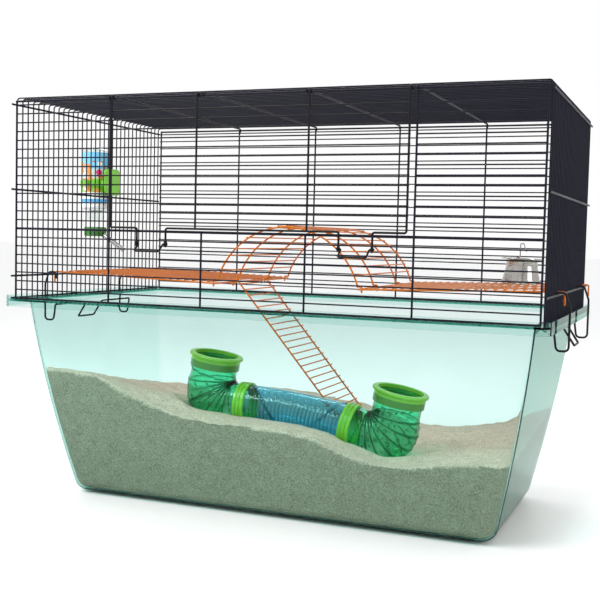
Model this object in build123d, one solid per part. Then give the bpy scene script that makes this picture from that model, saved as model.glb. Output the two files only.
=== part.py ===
from build123d import *
import math
import os

# Small-rodent cage: clear tub, wire top, wire shelves with a bridge, tunnel, bottle and bowl.
# Millimetres, +Z up, front face towards -Y. Every solid is shifted at export so that the
# origin is the bottom centre of the whole object.

# driving dimensions
CAGE_L = 780.0          # wire top, outer wires, along X
CAGE_W = 427.0          # wire top, front post plane to back post plane
TOP_H = 291.0           # wire top height
TUB_H = 298.0           # tub floor to the wire top's lower frame
PITCH = 13.0            # spacing of the fill wires
BAR_D = 2.0             # fill wire
ROD_D = 3.0             # frame wire
SHELF_ROD_UP = 33.0     # lower side rod above the lower frame
UPPER_ROD_UP = 162.0    # upper side rod above the lower frame
SILL_BAR = 8            # bar number of the door sill
DOOR_HALF = 225.0       # half width of the doorway
TUBE_R = 29.5           # tunnel tube, outside
ARM_R = TUBE_R + 5.5    # upright arm of a tunnel elbow
WALL = 2.0              # tunnel wall
BOTTLE_R = 23.7         # bottle, outside
BOWL_R = 32.0           # bowl rim
TUB_WALL = 2.5

# clearances
RUN = 0.3               # turning and sliding faces
GAP = 0.5               # loose wire hooks
SINK = 0.3              # how far two welded wires run into each other

FOOT_H = 3.0
HX = CAGE_L / 2
HY = CAGE_W / 2
RB = BAR_D / 2
RR = ROD_D / 2
WELD = RB + RR - SINK   # centre distance of a fill wire welded to a rod
BASE_Z = FOOT_H + TUB_H
TOP_Z = BASE_Z + TOP_H
SHELF_Z = BASE_Z + SHELF_ROD_UP
ROD_X = HX + WELD
HOOK_R = 2 * RR + GAP   # centre line of a hook round a rod
ROOF_Z = TOP_Z + HOOK_R - 0.2
DOOR_Y = -HY - HOOK_R
SHELF_IN = 114.0        # inner rod of a shelf, from the middle
SHELF_DROP = 8.0        # a shelf falls this much from the wall to its inner rod


def gap_at(value):
    """Middle of the nearest gap between the side wires."""
    return (math.floor(value / PITCH) + 0.5) * PITCH


def rod(a, b, r):
    """Straight round wire from a to b."""
    line = Line(a, b)
    return sweep(Plane(origin=a, z_dir=line % 0) * Circle(r), path=line)


def bent(points, r, bend):
    """Round wire bent along the points."""
    line = FilletPolyline(*points, radius=bend)
    return sweep(Plane(origin=line @ 0, z_dir=line % 0) * Circle(r), path=line)


def weld(pieces):
    """One solid out of overlapping wires."""
    return pieces[0].fuse(*pieces[1:])


def wires_at(half):
    """Wire positions on the pitch, out to half."""
    n = int(half / PITCH)
    return [PITCH * k for k in range(-n, n + 1)]


def block(x0, x1, y0, y1, z0, z1):
    return Pos((x0 + x1) / 2, (y0 + y1) / 2, (z0 + z1) / 2) * Box(x1 - x0, y1 - y0, z1 - z0)


# ---------------------------------------------------------------- tub
TUB_TOP = BASE_Z - RR - 0.1
BODY_TOP_X = HX - 12.0
BODY_TOP_Y = HY - 14.5
BODY_LOW_X = HX - 65.0
BODY_LOW_Y = HY - 60.5
LIP_X = HX + 10.0
LIP_Y = HY + 13.5
BELLY = 5.0             # how far the walls bow out half way up


def tapered(inset, z0, z1):
    """Tapered block of the tub with its walls a little bowed out, moved in by inset."""
    def face(z):
        t = (z - FOOT_H) / (TUB_TOP - FOOT_H)
        bow = BELLY * 4 * t * (1 - t)
        hx = BODY_LOW_X + (BODY_TOP_X - BODY_LOW_X) * t + bow - inset
        hy = BODY_LOW_Y + (BODY_TOP_Y - BODY_LOW_Y) * t + bow - inset
        return Pos(0, 0, z) * RectangleRounded(2 * hx, 2 * hy, 26 - 14 * t - inset)
    return loft([face(z0 + (z1 - z0) * k / 3) for k in range(4)])


def rounded_floor(solid, z, r):
    """Round the bottom edge of a tapered block."""
    ring = [e for e in solid.edges() if abs(e.center().Z - z) < 0.01]
    return fillet(ring, r)


def make_tub():
    outer = rounded_floor(tapered(0, FOOT_H, TUB_TOP), FOOT_H, 20)
    inner_z = FOOT_H + 3.0
    cavity = rounded_floor(tapered(TUB_WALL, inner_z, TUB_TOP + 20), inner_z, 17.5)
    ledge = Pos(0, 0, TUB_TOP - 2.5) * extrude(RectangleRounded(2 * LIP_X - 1, 2 * LIP_Y - 1, 14), 2.5)
    band = Pos(0, 0, BASE_Z - 12) * extrude(RectangleRounded(2 * LIP_X, 2 * LIP_Y, 14.5), 16.5)
    band -= Pos(0, 0, BASE_Z - 13) * extrude(RectangleRounded(2 * LIP_X - 5, 2 * LIP_Y - 5, 12), 20)
    tub = (outer + ledge + band) - cavity
    for sx in (-1, 1):
        for sy in (-1, 1):
            pad = extrude(RectangleRounded(34, 12, 4), FOOT_H + 1)
            tub += Pos(sx * (BODY_LOW_X - 40), sy * (BODY_LOW_Y - 30), 0) * pad
    return tub


# ---------------------------------------------------------------- tunnel
TUBE_Y = -HY + 138.5
LEFT_END = (-68.0, TUBE_Y, 148.0)
RIGHT_END = (99.0, TUBE_Y, 130.0)
LEFT_SLOPE = 2.0        # fall of the tunnel at the left ring, degrees
RIGHT_SLOPE = 11.0
LEFT_LEAN = 81.0        # direction of the left arm, degrees above +X
RIGHT_LEAN = 79.0
LEFT_CORNER = 61.5      # ring centre to the corner of the elbow
RIGHT_CORNER = 63.5
LEFT_ARM = 66.0         # corner to the top of the arm
RIGHT_ARM = 66.0
RING_W = 17.0


def along(point, angle, distance):
    a = math.radians(angle)
    return (point[0] + distance * math.cos(a), point[1], point[2] + distance * math.sin(a))


def pipe_end(point, angle):
    """Plane across the tunnel at a point, looking along angle."""
    a = math.radians(angle)
    return Plane(origin=point, x_dir=(0, 1, 0), z_dir=(math.cos(a), 0, math.sin(a)))


def cylinder_from(point, angle, r, length):
    return extrude(pipe_end(point, angle) * Circle(r), length)


def elbow_solid(start, out_angle, corner, arm_angle, arm, grow):
    """Elbow outside (grow 0) or inside (grow minus the wall), with the ends run past when inside."""
    over = 2.0 if grow < 0 else 0.0
    knee = along(start, out_angle, corner)
    begin = along(start, out_angle, 0.2 - over)
    stub = cylinder_from(begin, out_angle, TUBE_R + grow, corner - 0.2 + over)
    upright = cylinder_from(knee, arm_angle, ARM_R + grow, arm + over)
    ball = Pos(*knee) * Sphere(ARM_R + grow)
    return stub + upright + ball


def make_elbow(start, out_angle, corner, arm_angle, arm):
    outside = elbow_solid(start, out_angle, corner, arm_angle, arm, 0)
    return outside - elbow_solid(start, out_angle, corner, arm_angle, arm, -WALL)


def tube_line():
    return ThreePointArc(LEFT_END, MID_POINT, RIGHT_END)


CHORD = math.dist(LEFT_END, RIGHT_END)
SAG = CHORD / 2 * math.tan(math.radians((RIGHT_SLOPE - LEFT_SLOPE) / 4))
TILT = math.atan2(RIGHT_END[2] - LEFT_END[2], RIGHT_END[0] - LEFT_END[0])
MID_POINT = (
    (LEFT_END[0] + RIGHT_END[0]) / 2 - SAG * math.sin(TILT),
    TUBE_Y,
    (LEFT_END[2] + RIGHT_END[2]) / 2 + SAG * math.cos(TILT),
)


def swept_tube(r):
    line = tube_line()
    return sweep(Plane(origin=line @ 0, z_dir=line % 0) * Circle(r), path=line)


def make_middle_tube():
    tube = swept_tube(TUBE_R) - swept_tube(TUBE_R - WALL)
    left_slot = cylinder_from(along(LEFT_END, -LEFT_SLOPE, -3), -LEFT_SLOPE, TUBE_R + 5, 3.2)
    right_slot = cylinder_from(along(RIGHT_END, -RIGHT_SLOPE, -0.2), -RIGHT_SLOPE, TUBE_R + 5, 3)
    return tube - left_slot - right_slot


def make_ring(point, slope):
    """Coupling ring with three ridges."""
    inner = TUBE_R + RUN
    start = along(point, -slope, -RING_W / 2)
    ring = cylinder_from(start, -slope, inner + 1.9, RING_W)
    for k in range(3):
        ridge = cylinder_from(along(start, -slope, 0.8 + 5.8 * k), -slope, inner + 2.9, 3.8)
        ring += ridge
    return ring - cylinder_from(along(start, -slope, -1), -slope, inner, RING_W + 2)


def make_collar(knee, angle, arm):
    """Rim that slips over the mouth of an elbow and turns on it."""
    inner = ARM_R + RUN
    top = along(knee, angle, arm + RUN)
    sleeve = cylinder_from(along(knee, angle, arm - 15), angle, inner + 2.2, 15 + RUN)
    rim = cylinder_from(top, angle, ARM_R + 6, 5)
    rim = fillet(rim.edges().filter_by(GeomType.CIRCLE), 2.2)
    collar = (sleeve + rim) - cylinder_from(along(knee, angle, arm - 16), angle, inner, 16 + RUN)
    return collar - cylinder_from(along(knee, angle, arm - 2), angle, ARM_R - WALL, 12)


LEFT_KNEE = along(LEFT_END, 180 - LEFT_SLOPE, LEFT_CORNER)
RIGHT_KNEE = along(RIGHT_END, -RIGHT_SLOPE, RIGHT_CORNER)


def tunnel_envelope(grow):
    """Outside of the whole tunnel, for the hollow that it lies in."""
    left = elbow_solid(LEFT_END, 180 - LEFT_SLOPE, LEFT_CORNER, LEFT_LEAN, LEFT_ARM, 0 + grow)
    right = elbow_solid(RIGHT_END, -RIGHT_SLOPE, RIGHT_CORNER, RIGHT_LEAN, RIGHT_ARM, 0 + grow)
    rings = []
    for point, slope in ((LEFT_END, LEFT_SLOPE), (RIGHT_END, RIGHT_SLOPE)):
        start = along(point, -slope, -RING_W / 2 - grow)
        rings.append(cylinder_from(start, -slope, TUBE_R + RUN + 2.9 + grow, RING_W + 2 * grow))
    return left + right + swept_tube(TUBE_R + grow) + rings[0] + rings[1]


# ---------------------------------------------------------------- bedding
FRONT_SAND = [(-1.0, 207), (-0.94, 197), (-0.86, 196), (-0.69, 191), (-0.59, 170), (-0.47, 154),
              (-0.34, 141), (-0.16, 134), (0.08, 133), (0.2, 127), (0.28, 114), (0.42, 98),
              (0.56, 99), (0.72, 108), (0.86, 112), (1.0, 106)]
BACK_SAND = [(-1.0, 122), (-0.94, 120), (-0.86, 118), (-0.69, 121), (-0.59, 123), (-0.47, 128),
             (-0.34, 134), (-0.16, 135), (0.08, 124), (0.2, 112), (0.28, 102), (0.42, 93),
             (0.56, 96), (0.72, 110), (0.86, 130), (1.0, 162)]


def sand_face(heights, y):
    half = BODY_TOP_X
    points = [(-half, 0), (half, 0)]
    points += [(x * half, z) for x, z in reversed(heights)]
    return Plane(origin=(0, y, 0), x_dir=(1, 0, 0), z_dir=(0, -1, 0)) * make_face(Polyline(*points, close=True))


def make_bedding():
    heap = loft([sand_face(FRONT_SAND, -BODY_TOP_Y), sand_face(BACK_SAND, BODY_TOP_Y)], ruled=True)
    inner_z = FOOT_H + 3.0 + RUN
    bowl = rounded_floor(tapered(TUB_WALL + 0.4, inner_z, BASE_Z - 20), inner_z, 18)
    return (heap & bowl) - tunnel_envelope(1.0)


# ---------------------------------------------------------------- wire panels
POST_X = HX - RR - 2.0
BAR_Y = HY - WELD       # fill bars of the front and back, behind the posts
SILL_Z = BASE_Z + SILL_BAR * PITCH
INNER_POST = 77.0
BARS = int(TOP_H / PITCH)


def make_front():
    y_bar = -BAR_Y
    pieces = [rod((-POST_X - 1, -HY, BASE_Z), (POST_X + 1, -HY, BASE_Z), RR)]
    pieces.append(rod((-POST_X - 1, -HY, TOP_Z), (POST_X + 1, -HY, TOP_Z), RR))
    for x in (-POST_X, -DOOR_HALF, DOOR_HALF, POST_X):
        pieces.append(rod((x, -HY, BASE_Z), (x, -HY, TOP_Z), RR - 0.1))
    for x in (-INNER_POST, INNER_POST):
        pieces.append(rod((x, -HY, BASE_Z), (x, -HY, SILL_Z), RR - 0.1))
    pieces.append(rod((-POST_X, y_bar, SILL_Z), (POST_X, y_bar, SILL_Z), RR + 0.2))
    for k in range(1, SILL_BAR):
        z = BASE_Z + k * PITCH
        pieces.append(rod((-POST_X - 1, y_bar, z), (POST_X + 1, y_bar, z), RB))
    for k in range(SILL_BAR + 1, BARS + 1):
        z = BASE_Z + k * PITCH
        pieces.append(rod((-POST_X - 1, y_bar, z), (-DOOR_HALF + 1, y_bar, z), RB))
        pieces.append(rod((DOOR_HALF - 1, y_bar, z), (POST_X + 1, y_bar, z), RB))
    return weld(pieces)


def make_back():
    pieces = [rod((-POST_X - 1, HY, BASE_Z), (POST_X + 1, HY, BASE_Z), RR)]
    pieces.append(rod((-POST_X - 1, HY, TOP_Z), (POST_X + 1, HY, TOP_Z), RR))
    for x in (-POST_X, -DOOR_HALF, -INNER_POST, INNER_POST, DOOR_HALF, POST_X):
        pieces.append(rod((x, HY, BASE_Z), (x, HY, TOP_Z), RR - 0.1))
    for k in range(1, BARS + 1):
        z = BASE_Z + k * PITCH
        pieces.append(rod((-POST_X - 1, BAR_Y, z), (POST_X + 1, BAR_Y, z), RB))
    return weld(pieces)


SIDE_HALF = HY - 5.0
SIDE_TOP = TOP_Z - 0.5


def make_side(side):
    x = side * HX
    pieces = []
    for z in (BASE_Z, SHELF_Z, BASE_Z + UPPER_ROD_UP, TOP_Z - 4):
        pieces.append(rod((side * ROD_X, -HY - 3, z), (side * ROD_X, HY + 3, z), RR))
    for y in wires_at(SIDE_HALF):
        pieces.append(rod((x, y, BASE_Z - RR), (x, y, SIDE_TOP), RB))
    return weld(pieces)


def make_roof():
    """Long wires that turn down at both ends, on cross wires that hook on the front and back."""
    pieces = []
    z = ROOF_Z + WELD
    for y in wires_at(SIDE_HALF):
        points = [(-HX, y, SIDE_TOP + 0.1), (-HX, y, z), (HX, y, z), (HX, y, SIDE_TOP + 0.1)]
        pieces.append(bent(points, RB, 4.5))
    r = HOOK_R - 0.2
    for x in (-DOOR_HALF, -INNER_POST, INNER_POST - 1.5, DOOR_HALF):
        front = [(x, -HY - r, TOP_Z - 3), (x, -HY - r, ROOF_Z)]
        back = [(x, HY + r, ROOF_Z), (x, HY + r, TOP_Z - 3)]
        pieces.append(bent(front + back, RR, 2.6))
    return weld(pieces)


# ---------------------------------------------------------------- door
DOOR_LEFT = -DOOR_HALF + 2 * RR + 1.2
DOOR_RIGHT = DOOR_HALF - 2 * RR - 6.0
DOOR_POST_L = -INNER_POST - 8.0
DOOR_POST_R = INNER_POST + 3.0
RAIL_Z = SILL_Z + 2 * RR + 1.5
DROP = 22.0
LATCHES = (-154.0, 148.0)
LATCH_HALF = 23.0
PIN_Z = RAIL_Z - DROP
PIN_R = 1.3
EYE_R = PIN_R + 0.4 + RR


def hook_top(x, z):
    """Upright of the door with its hook round the top rod."""
    r = HOOK_R
    return [(x, DOOR_Y, z), (x, DOOR_Y, TOP_Z + r), (x, -HY + r, TOP_Z + r), (x, -HY + r, TOP_Z - 3)]


def eye(x, y, z):
    """Small wire eye with its hole along X."""
    return Pos(x, y, z) * Rotation(0, 90, 0) * Torus(EYE_R, RR - 0.1)


def make_door():
    left, right = LATCHES
    start = [(left - LATCH_HALF, DOOR_Y, PIN_Z + EYE_R), (left - LATCH_HALF, DOOR_Y, RAIL_Z)]
    start += [(DOOR_LEFT, DOOR_Y, RAIL_Z)]
    middle = [(left + LATCH_HALF, DOOR_Y, PIN_Z + EYE_R), (left + LATCH_HALF, DOOR_Y, RAIL_Z)]
    middle += [(right - LATCH_HALF, DOOR_Y, RAIL_Z), (right - LATCH_HALF, DOOR_Y, PIN_Z + EYE_R)]
    end = [(right + LATCH_HALF, DOOR_Y, PIN_Z + EYE_R), (right + LATCH_HALF, DOOR_Y, RAIL_Z)]
    end += [(DOOR_RIGHT, DOOR_Y, RAIL_Z)]
    pieces = [bent(start + hook_top(DOOR_LEFT, RAIL_Z)[1:], RR, 3.0)]
    pieces.append(bent(end + hook_top(DOOR_RIGHT, RAIL_Z)[1:], RR, 3.0))
    pieces.append(bent(middle, RR, 3.0))
    for x in (DOOR_POST_L, DOOR_POST_R):
        pieces.append(bent(hook_top(x, RAIL_Z), RR - 0.1, 3.0))
    y_bar = DOOR_Y + WELD
    for k in range(SILL_BAR + 1, BARS):
        z = BASE_Z + k * PITCH
        pieces.append(rod((DOOR_LEFT - 1, y_bar, z), (DOOR_RIGHT + 1, y_bar, z), RB))
    for x in LATCHES:
        for s in (-1, 1):
            pieces.append(eye(x + s * LATCH_HALF, DOOR_Y, PIN_Z))
    return weld(pieces)


def make_latch(x):
    """Bail that turns in the two eyes of the door."""
    pin = LATCH_HALF + RR + 1.5
    leg = LATCH_HALF - RR - 2.2
    low = (DOOR_Y - 13.0, PIN_Z - 10.5)
    points = [(x - pin, DOOR_Y, PIN_Z), (x - leg, DOOR_Y, PIN_Z), (x - leg, low[0], low[1])]
    points += [(x + leg, low[0], low[1]), (x + leg, DOOR_Y, PIN_Z), (x + pin, DOOR_Y, PIN_Z)]
    return bent(points, PIN_R, 2.4)


# ---------------------------------------------------------------- clips
CLIP_Y = gap_at(-HY + 103.5)
FINGER = 23.0
CLIP_OUT = LIP_X + RR + 7.0
CLIP_TURN = 16.0        # width of the turn under the rim
CLIP_LOW = BASE_Z - 40.0
CLIP_IN_X = HX - 1.0
CLIP_IN_Z = BASE_Z - 15.0


def make_clip(side):
    """One wire: hook, outer leg, turn under the rim, run inside, finger loop, and back."""
    def half(sy):
        y = sy * CLIP_Y
        f = sy * math.copysign(FINGER, CLIP_Y)
        hook_z = SHELF_Z + HOOK_R
        pts = [(ROD_X - HOOK_R - 0.2, y, SHELF_Z - 7), (ROD_X - HOOK_R - 0.2, y, hook_z)]
        pts += [(ROD_X + HOOK_R + 6, y, hook_z), (CLIP_OUT, y, SHELF_Z - 16), (CLIP_OUT, y, CLIP_LOW)]
        pts += [(CLIP_OUT - CLIP_TURN, y, CLIP_LOW), (CLIP_IN_X, y, CLIP_IN_Z), (CLIP_IN_X, f, CLIP_IN_Z)]
        pts += [(CLIP_OUT - 3, f, CLIP_LOW)]
        return pts
    points = half(1) + list(reversed(half(-1)))
    turns = [3.4, 5.5, 5.5, 6.0, 6.0, 2.8, 2.8, 2.8]
    return bent([(side * x, y, z) for x, y, z in points], RR, turns + turns[::-1])


# ---------------------------------------------------------------- shelves, bridge and ladder
SHELF_FRONT = gap_at(-HY + 116.0)
SHELF_BACK = gap_at(HY - 25.5)
SHELF_RUN = SHELF_BACK - SHELF_FRONT
SHELF_WALL_Z = SHELF_Z + HOOK_R
SHELF_IN_Z = SHELF_WALL_Z - SHELF_DROP
SHELF_WALL_X = HX - 6.0
SHELF_TILT = math.degrees(math.atan2(SHELF_DROP, SHELF_WALL_X - SHELF_IN))


def shelf_z(x):
    """Height of a shelf's long wires at x."""
    t = (abs(x) - SHELF_IN) / (SHELF_WALL_X - SHELF_IN)
    return SHELF_IN_Z + SHELF_DROP * t


def make_shelf(side):
    pieces = []
    for k in range(4):
        y = SHELF_FRONT + SHELF_RUN * (0, 0.33, 0.655, 1)[k]
        points = [(side * SHELF_IN, y, SHELF_IN_Z), (side * SHELF_WALL_X, y, SHELF_WALL_Z)]
        if k in (0, 3):
            out = ROD_X + HOOK_R + 4
            points += [(side * out, y, SHELF_WALL_Z), (side * out, y, SHELF_Z - 14)]
            pieces.append(bent(points, RR - 0.2, 2.5))
        else:
            pieces.append(rod(points[0], points[1], RR - 0.2))
    y0, y1 = SHELF_FRONT - 1, SHELF_BACK + 1
    pieces.append(rod((side * SHELF_IN, y0, SHELF_IN_Z), (side * SHELF_IN, y1, SHELF_IN_Z), RR))
    count = int((SHELF_WALL_X - SHELF_IN) / PITCH)
    for k in range(1, count + 1):
        x = SHELF_IN + k * PITCH - 2
        z = shelf_z(x) + RB + RR - 0.2 - SINK
        pieces.append(rod((side * x, y0, z), (side * x, y1, z), RB))
    return weld(pieces)


ARCH_RISE = 80.0
ARCH_HALF = SHELF_IN - HOOK_R - 0.2
FOOT_Z = SHELF_IN_Z + HOOK_R + 0.1
ARCH_R = (ARCH_HALF ** 2 + ARCH_RISE ** 2) / (2 * ARCH_RISE)
ARCH_CZ = FOOT_Z + 3.0 + ARCH_RISE - ARCH_R
ARCH_WIRES = (SHELF_FRONT + 4.5, SHELF_FRONT + 78, SHELF_BACK - 91, SHELF_BACK - 4.5)


def make_arch():
    """Bridge of four arched wires that hook on the inner rods of the shelves."""
    pieces = []
    half = math.degrees(math.asin(ARCH_HALF / ARCH_R))
    foot = (SHELF_IN + HOOK_R, SHELF_IN_Z - 5)
    for y in ARCH_WIRES:
        plane = Plane(origin=(0, y, ARCH_CZ), x_dir=(1, 0, 0), z_dir=(0, -1, 0))
        arc = plane * CenterArc((0, 0), ARCH_R, 90 - half, 2 * half)
        start = arc @ 0
        pieces.append(sweep(Plane(origin=start, z_dir=arc % 0) * Circle(RR - 0.2), path=arc))
        for s in (-1, 1):
            points = [(s * ARCH_HALF, y, FOOT_Z + 3.0), (s * ARCH_HALF, y, FOOT_Z)]
            points += [(s * foot[0], y, FOOT_Z), (s * foot[0], y, foot[1])]
            pieces.append(bent(points, RR - 0.2, 1.6))
            pieces.append(Pos(s * ARCH_HALF, y, FOOT_Z + 3.0) * Sphere(RR))
    count = int(math.radians(2 * half) * ARCH_R / PITCH)
    y0, y1 = ARCH_WIRES[0] - 1, ARCH_WIRES[3] + 1
    for k in range(1, count):
        a = math.radians(90 - half + 2 * half * k / count)
        r = ARCH_R + RB + RR - 0.2 - SINK
        x, z = r * math.cos(a), ARCH_CZ + r * math.sin(a)
        pieces.append(rod((x, y0, z), (x, y1, z), RB))
    return weld(pieces)


LADDER_ANGLE = 49.4
LADDER_Y = (ARCH_WIRES[1] - 6.0, ARCH_WIRES[2] - 13.0)
LADDER_L = 268.0


def make_ladder():
    """Two hooked rails with rungs; it hangs on the inner rod of the left shelf."""
    a = math.radians(LADDER_ANGLE)
    top = (-SHELF_IN + HOOK_R + 0.2, SHELF_IN_Z + HOOK_R)
    low = (top[0] + LADDER_L * math.cos(a), top[1] - LADDER_L * math.sin(a))
    pieces = []
    for y in LADDER_Y:
        points = [(-SHELF_IN - HOOK_R, y, SHELF_IN_Z - 6), (-SHELF_IN - HOOK_R, y, top[1])]
        points += [(top[0], y, top[1]), (low[0], y, low[1])]
        pieces.append(bent(points, RR - 0.2, 1.8))
    count = int(LADDER_L / 11.5)
    off = RB + RR - 0.2 - SINK
    for k in range(1, count + 1):
        d = k * 11.5 - 2
        x = top[0] + d * math.cos(a) + off * math.sin(a)
        z = top[1] - d * math.sin(a) + off * math.cos(a)
        pieces.append(rod((x, LADDER_Y[0] - 3, z), (x, LADDER_Y[1] + 3, z), RB))
    return weld(pieces)


# ---------------------------------------------------------------- bottle
BOTTLE_Y = gap_at(45.5)
BOTTLE_X = -ROD_X - RR - BOTTLE_R - 1.2
BOTTLE_TOP = BASE_Z + 245.0
BOTTLE_LOW = BASE_Z + 136.0
NECK_R = BOTTLE_R - 8.5
CAP_LOW = BASE_Z + 108.0
SPOUT_ANGLE = -31.0
SPOUT_R = 4.0
SPOUT_L = 66.0
HOLDER_Z = BASE_Z + 180.0
HOLDER_H = 10.0


def make_bottle():
    height = BOTTLE_TOP - BOTTLE_LOW
    body = Pos(0, 0, height / 2) * Cylinder(BOTTLE_R, height)
    body = fillet(body.edges().filter_by(GeomType.CIRCLE), 6)
    body += Pos(0, 0, -6) * Cylinder(NECK_R, 14)
    cavity = Pos(0, 0, height / 2) * Cylinder(BOTTLE_R - 1.6, height - 3.2)
    cavity = fillet(cavity.edges().filter_by(GeomType.CIRCLE), 4.5)
    cavity += Pos(0, 0, -6) * Cylinder(NECK_R - 1.6, 20)
    return Pos(BOTTLE_X, BOTTLE_Y, BOTTLE_LOW) * (body - cavity)


def make_label():
    height = BOTTLE_TOP - BOTTLE_LOW - 14
    band = Cylinder(BOTTLE_R + 0.25, height) - Cylinder(BOTTLE_R + 0.02, height + 1)
    return Pos(BOTTLE_X, BOTTLE_Y, (BOTTLE_TOP + BOTTLE_LOW) / 2) * band


def spout_point(distance):
    a = math.radians(SPOUT_ANGLE)
    return (BOTTLE_X + 1 + distance * math.cos(a), BOTTLE_Y, CAP_LOW - 2.0 + distance * math.sin(a))


def make_cap():
    """Screw cap with ribs and the slanted nose that grips the spout."""
    neck = NECK_R + RUN
    height = BOTTLE_LOW - CAP_LOW - RUN
    cap = Pos(0, 0, height / 2) * Cylinder(NECK_R + 3.0, height)
    for k in range(24):
        cap += Rotation(0, 0, 15 * k) * Pos(NECK_R + 3.0, 0, height / 2) * Box(1.2, 1.6, height - 3)
    cap = Pos(BOTTLE_X, BOTTLE_Y, CAP_LOW) * cap
    cap += cylinder_from(spout_point(-3), SPOUT_ANGLE, 7.0, 14)
    cap -= Pos(BOTTLE_X, BOTTLE_Y, CAP_LOW + 2 + height / 2) * Cylinder(neck, height)
    return cap - cylinder_from(spout_point(-9), SPOUT_ANGLE, SPOUT_R + 0.05, 40)


def make_spout():
    tube = cylinder_from(spout_point(-1), SPOUT_ANGLE, SPOUT_R, SPOUT_L + 1)
    tube -= cylinder_from(spout_point(-2), SPOUT_ANGLE, SPOUT_R - 0.8, SPOUT_L + 1.2)
    return tube - cylinder_from(spout_point(SPOUT_L - 4), SPOUT_ANGLE, 2.4, 6)


def make_ball():
    return Pos(*spout_point(SPOUT_L - 2.6)) * Sphere(2.9)


def make_holder():
    """Ring outside, two arms between the wires, plate inside."""
    inner = BOTTLE_R + 0.25 + 0.5
    ring = Cylinder(inner + 2.2, HOLDER_H)
    ring = Pos(BOTTLE_X, BOTTLE_Y, HOLDER_Z + HOLDER_H / 2) * ring
    ear = block(BOTTLE_X - 4, BOTTLE_X + 4, BOTTLE_Y - inner - 8, BOTTLE_Y - inner, HOLDER_Z, HOLDER_Z + HOLDER_H)
    holder = ring + ear
    for s in (-1, 1):
        y = BOTTLE_Y + s * PITCH
        holder += block(BOTTLE_X + inner - 6, -HX + 4, y - 3, y + 3, HOLDER_Z, HOLDER_Z + HOLDER_H)
    plate = Plane.YZ * Pos(BOTTLE_Y, HOLDER_Z + 7.5) * RectangleRounded(46, 45, 9)
    holder += Pos(-HX + 2.5, 0, 0) * extrude(plate, 3)
    return holder - Pos(BOTTLE_X, BOTTLE_Y, HOLDER_Z) * Cylinder(inner, 60)


# ---------------------------------------------------------------- bowl
BOWL_X = SHELF_IN + (SHELF_WALL_X - SHELF_IN) * 0.7
BOWL_Y = SHELF_BACK - 48.5
BOWL_H = BOWL_R * 1.22


def on_shelf(x, lift):
    """Seat on the right shelf, tilted with it."""
    z = shelf_z(x) + RR - 0.2 + BAR_D - SINK + lift
    return Pos(x, BOWL_Y, z) * Rotation(0, -SHELF_TILT, 0)


def make_bowl():
    r, h = BOWL_R, BOWL_H
    wall = 1.2
    outer = [(0.93 * r, 0), (0.74 * r, 0.72 * h), (0.78 * r, 0.86 * h), (r, 0.97 * h), (r, h)]
    inner = [(0.95 * r, h), (0.74 * r - wall, 0.84 * h), (0.62 * r, 0.3 * h), (0, 0.24 * h)]
    under = [(0, 0.24 * h - wall), (0.62 * r, 0.24 * h), (0.71 * r, 0.68 * h), (0.93 * r - wall, 0)]
    profile = Plane.XZ * make_face(Polyline(*outer, *inner, *under, close=True))
    return on_shelf(BOWL_X, 0.1) * revolve(profile, Axis.Z)


def make_bowl_hook():
    """Hanging hook that stands on the back of the rim."""
    y = BOWL_R * 0.84
    z = BOWL_H + 0.9
    points = [(-12, y, z), (-7, y, z), (-6, y, z + 22), (-1, y, z + 22), (3, y, z + 9)]
    return on_shelf(BOWL_X, 0.1) * bent(points, 0.9, 1.6)


def build():
    parts = {}
    parts["tub"] = make_tub()
    parts["bedding"] = make_bedding()
    parts["front_panel"] = make_front()
    parts["back_panel"] = make_back()
    parts["left_panel"] = make_side(-1)
    parts["right_panel"] = make_side(1)
    parts["roof_panel"] = make_roof()
    parts["door"] = make_door()
    parts["left_latch"] = make_latch(LATCHES[0])
    parts["right_latch"] = make_latch(LATCHES[1])
    parts["left_clip"] = make_clip(-1)
    parts["right_clip"] = make_clip(1)
    parts["left_shelf"] = make_shelf(-1)
    parts["right_shelf"] = make_shelf(1)
    parts["bridge"] = make_arch()
    parts["ladder"] = make_ladder()
    parts["left_elbow"] = make_elbow(LEFT_END, 180 - LEFT_SLOPE, LEFT_CORNER, LEFT_LEAN, LEFT_ARM)
    parts["right_elbow"] = make_elbow(RIGHT_END, -RIGHT_SLOPE, RIGHT_CORNER, RIGHT_LEAN, RIGHT_ARM)
    parts["middle_tube"] = make_middle_tube()
    parts["left_ring"] = make_ring(LEFT_END, LEFT_SLOPE)
    parts["right_ring"] = make_ring(RIGHT_END, RIGHT_SLOPE)
    parts["left_collar"] = make_collar(LEFT_KNEE, LEFT_LEAN, LEFT_ARM)
    parts["right_collar"] = make_collar(RIGHT_KNEE, RIGHT_LEAN, RIGHT_ARM)
    parts["bottle"] = make_bottle()
    parts["bottle_label"] = make_label()
    parts["bottle_cap"] = make_cap()
    parts["bottle_spout"] = make_spout()
    parts["spout_ball"] = make_ball()
    parts["bottle_holder"] = make_holder()
    parts["food_bowl"] = make_bowl()
    parts["bowl_hook"] = make_bowl_hook()
    return parts


def shift_of(parts):
    """Move that puts the bottom centre of everything at the origin."""
    boxes = [p.bounding_box() for p in parts.values()]
    x = (min(b.min.X for b in boxes) + max(b.max.X for b in boxes)) / 2
    y = (min(b.min.Y for b in boxes) + max(b.max.Y for b in boxes)) / 2
    z = min(b.min.Z for b in boxes)
    return Location((-round(x, 1), -round(y, 1), -round(z, 2)))


os.makedirs("parts", exist_ok=True)
all_parts = build()
shift = shift_of(all_parts)
print("shift", shift.position)
for name, shape in all_parts.items():
    solids = shape.solids()
    box = shape.bounding_box()
    print(name, "solids", len(solids), "volume", round(shape.volume / 1000, 2), box.min, box.max)
    export_step(shape.moved(shift), "parts/" + name + ".step")
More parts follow.
